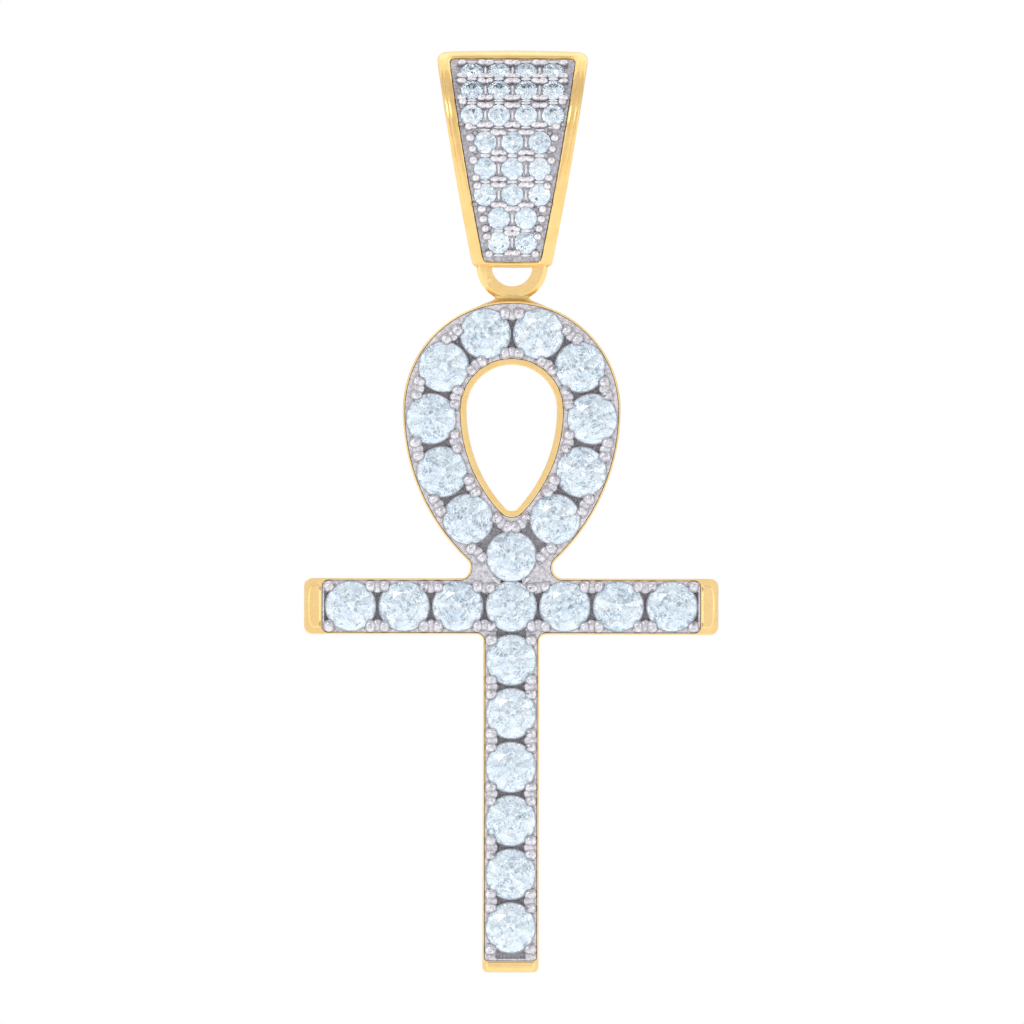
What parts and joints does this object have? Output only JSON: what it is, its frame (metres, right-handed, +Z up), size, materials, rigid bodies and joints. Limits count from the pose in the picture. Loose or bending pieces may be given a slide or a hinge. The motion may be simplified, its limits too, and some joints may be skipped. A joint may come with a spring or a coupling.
{
  "type": "ankh pendant",
  "caption": "Two-tone ankh pendant with round stones in a white setting on a gold body, hanging by a soldered ring from a tapered paved bail.",
  "frame": {"origin": "crest inside the bail, midway across its width, where a chain sits", "axes": "+Z up along the pendant as it hangs, the stones face -Y, +X to the right seen from the front"},
  "size_m": [0.0232, 0.0067, 0.0515],
  "materials": {
    "gold": "polished yellow gold",
    "white_setting": "rhodium-white, fine cast grain with burnished beads",
    "stones": "clear faceted brilliants with an icy tint"
  },
  "bodies": {
    "bail": {"bail_frame": "gold", "bail_setting": "white_setting", "bail_stones": "stones", "bail_pin": "gold"},
    "ankh": {"ankh_body": "gold", "ankh_setting": "white_setting", "stone_01": "stones", "stone_02": "stones", "stone_03": "stones", "stone_04": "stones", "stone_05": "stones", "stone_06": "stones", "stone_07": "stones", "stone_08": "stones", "stone_09": "stones", "stone_10": "stones", "stone_11": "stones", "stone_12": "stones", "stone_13": "stones", "stone_14": "stones", "stone_15": "stones", "stone_16": "stones", "stone_17": "stones", "stone_18": "stones", "stone_19": "stones", "stone_20": "stones", "stone_21": "stones", "stone_22": "stones", "stone_23": "stones", "stone_24": "stones"}
  },
  "joints": [
    {"name": "ankh_swing", "type": "hinge", "parent": "bail", "child": "ankh", "pos_m": [0, -0.00162, -0.01017], "axis": [0, 1, 0], "range_deg": [-90, 90]}
  ]
}
